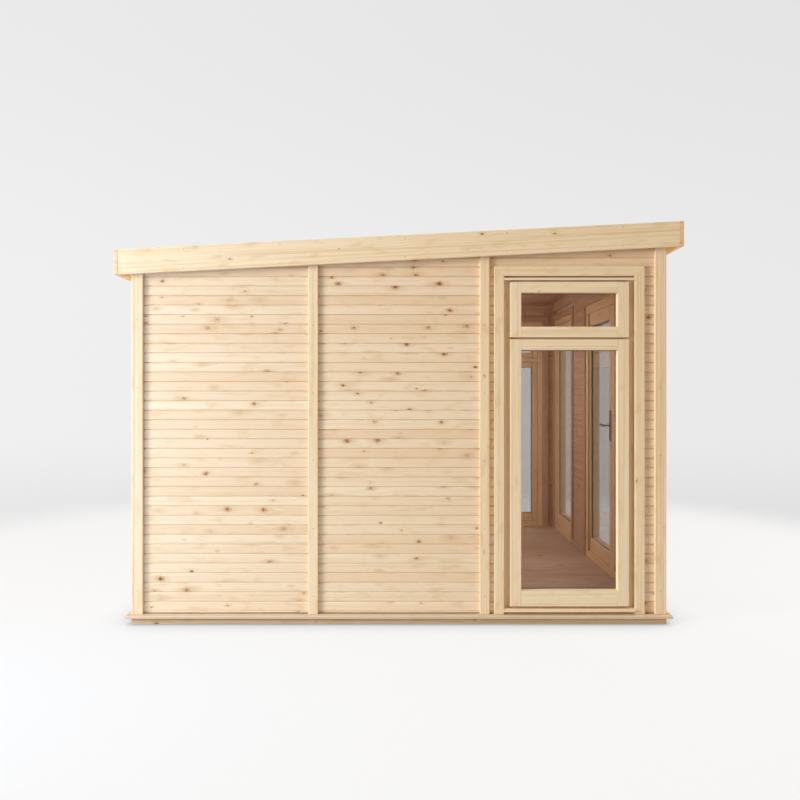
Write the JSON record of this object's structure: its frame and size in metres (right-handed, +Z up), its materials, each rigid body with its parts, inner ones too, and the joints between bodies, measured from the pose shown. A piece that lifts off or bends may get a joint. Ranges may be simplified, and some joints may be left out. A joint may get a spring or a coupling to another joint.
{
  "type": "garden office pod",
  "caption": "Insulated timber garden room with a pent roof, glazed double doors at the front and full-height side windows with top vents.",
  "frame": {"origin": "middle of the building's footprint, on the ground", "axes": "+Z up, -Y out of the front with the doors, +X to the right of someone who faces the front"},
  "size_m": [3.084, 3.17, 2.2534],
  "materials": {
    "cladding": "natural softwood, lightly planed",
    "trim_timber": "natural softwood, planed",
    "joinery": "natural softwood, planed and sanded",
    "base_timber": "rough-sawn softwood",
    "sill_timber": "natural softwood, planed",
    "floor_boards": "planed softwood boards",
    "lining_boards": "planed softwood boards",
    "roof_deck": "sheet timber",
    "roof_sheet": "matte roofing membrane",
    "glass": "clear sealed unit",
    "hinge_steel": "zinc plated",
    "handle_metal": "satin"
  },
  "bodies": {
    "building": {"side_bearers": "base_timber", "floor_joists": "base_timber", "floor_deck": "floor_boards", "side_sills": "sill_timber", "end_sills": "sill_timber", "left_wall_back": "cladding", "left_wall_middle": "cladding", "left_wall_front": "cladding", "right_wall_back": "cladding", "right_wall_middle": "cladding", "right_wall_front": "cladding", "back_wall_left": "cladding", "back_wall_middle": "cladding", "back_wall_right": "cladding", "front_wall_corner": "cladding", "front_wall_over_door": "cladding", "front_wall_right": "cladding", "corner_trims": "trim_timber", "cover_trims": "trim_timber", "roof_panel": "roof_deck", "ceiling_lining": "lining_boards", "roof_covering": "roof_sheet", "side_fascias": "trim_timber", "end_fascias": "trim_timber", "soffit_boards": "trim_timber", "side_window_architraves": "trim_timber", "side_window_frames": "joinery", "side_vent_sashes": "joinery", "side_main_sashes": "joinery", "side_window_glass": "glass", "front_window_frame": "joinery", "front_window_sash": "joinery", "front_window_glass": "glass", "front_architraves": "trim_timber", "inner_architraves": "lining_boards", "door_frame": "joinery", "frame_hinges": "hinge_steel"},
    "left_door": {"left_door_leaf": "joinery", "left_door_glass": "glass", "left_door_hinges": "hinge_steel"},
    "right_door": {"right_door_leaf": "joinery", "right_door_glass": "glass", "right_door_hinges": "hinge_steel", "handle_plates": "handle_metal"},
    "lever": {"door_handle": "handle_metal"}
  },
  "joints": [
    {"name": "left_door_hinge", "type": "hinge", "parent": "building", "child": "left_door", "pos_m": [-1.2765, -1.5085, 1.007], "axis": [0, 0, -1], "range_deg": [0, 110]},
    {"name": "right_door_hinge", "type": "hinge", "parent": "building", "child": "right_door", "pos_m": [0.0705, -1.5085, 1.007], "axis": [0, 0, 1], "range_deg": [0, 110]},
    {"name": "lever_turn", "type": "hinge", "parent": "right_door", "child": "lever", "pos_m": [-0.567, -1.5, 1.078], "axis": [0, 1, 0], "range_deg": [0, 40], "stiffness_Nm_per_rad": 1.5, "springref_deg": -20.05}
  ]
}
